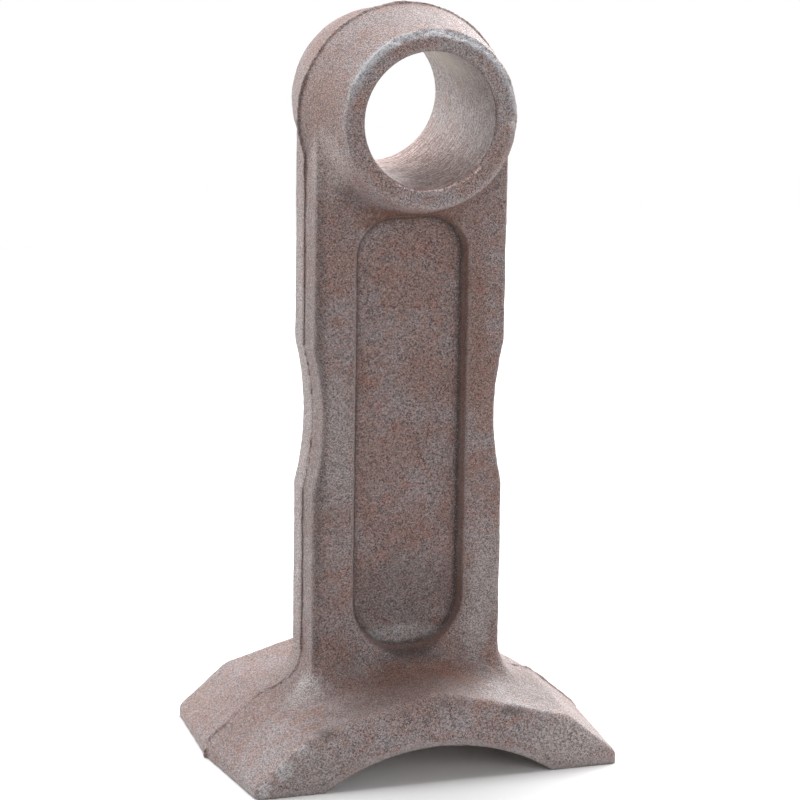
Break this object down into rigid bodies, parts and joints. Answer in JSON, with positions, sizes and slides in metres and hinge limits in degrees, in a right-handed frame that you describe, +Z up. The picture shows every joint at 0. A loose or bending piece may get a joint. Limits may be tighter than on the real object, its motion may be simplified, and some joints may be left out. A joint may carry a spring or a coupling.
{
  "type": "mulcher blade",
  "caption": "One-piece forged hammer flail with a round eye and bore, a recessed shank and a wide arched foot that beats the crop.",
  "frame": {"origin": "on the axis of the bore, halfway along it", "axes": "+Y along the bore, away from the side seen in the picture; +X across the foot, to the right from the front; +Z up from the foot to the eye. The flail stands on its ground underside at Z = -0.124 m."},
  "size_m": [0.0768, 0.053, 0.1439],
  "materials": {
    "forged_steel": "forged and shot-blasted skin with a bloom of rust"
  },
  "bodies": {
    "root": {"hammer_flail": "forged_steel"}
  },
  "joints": []
}
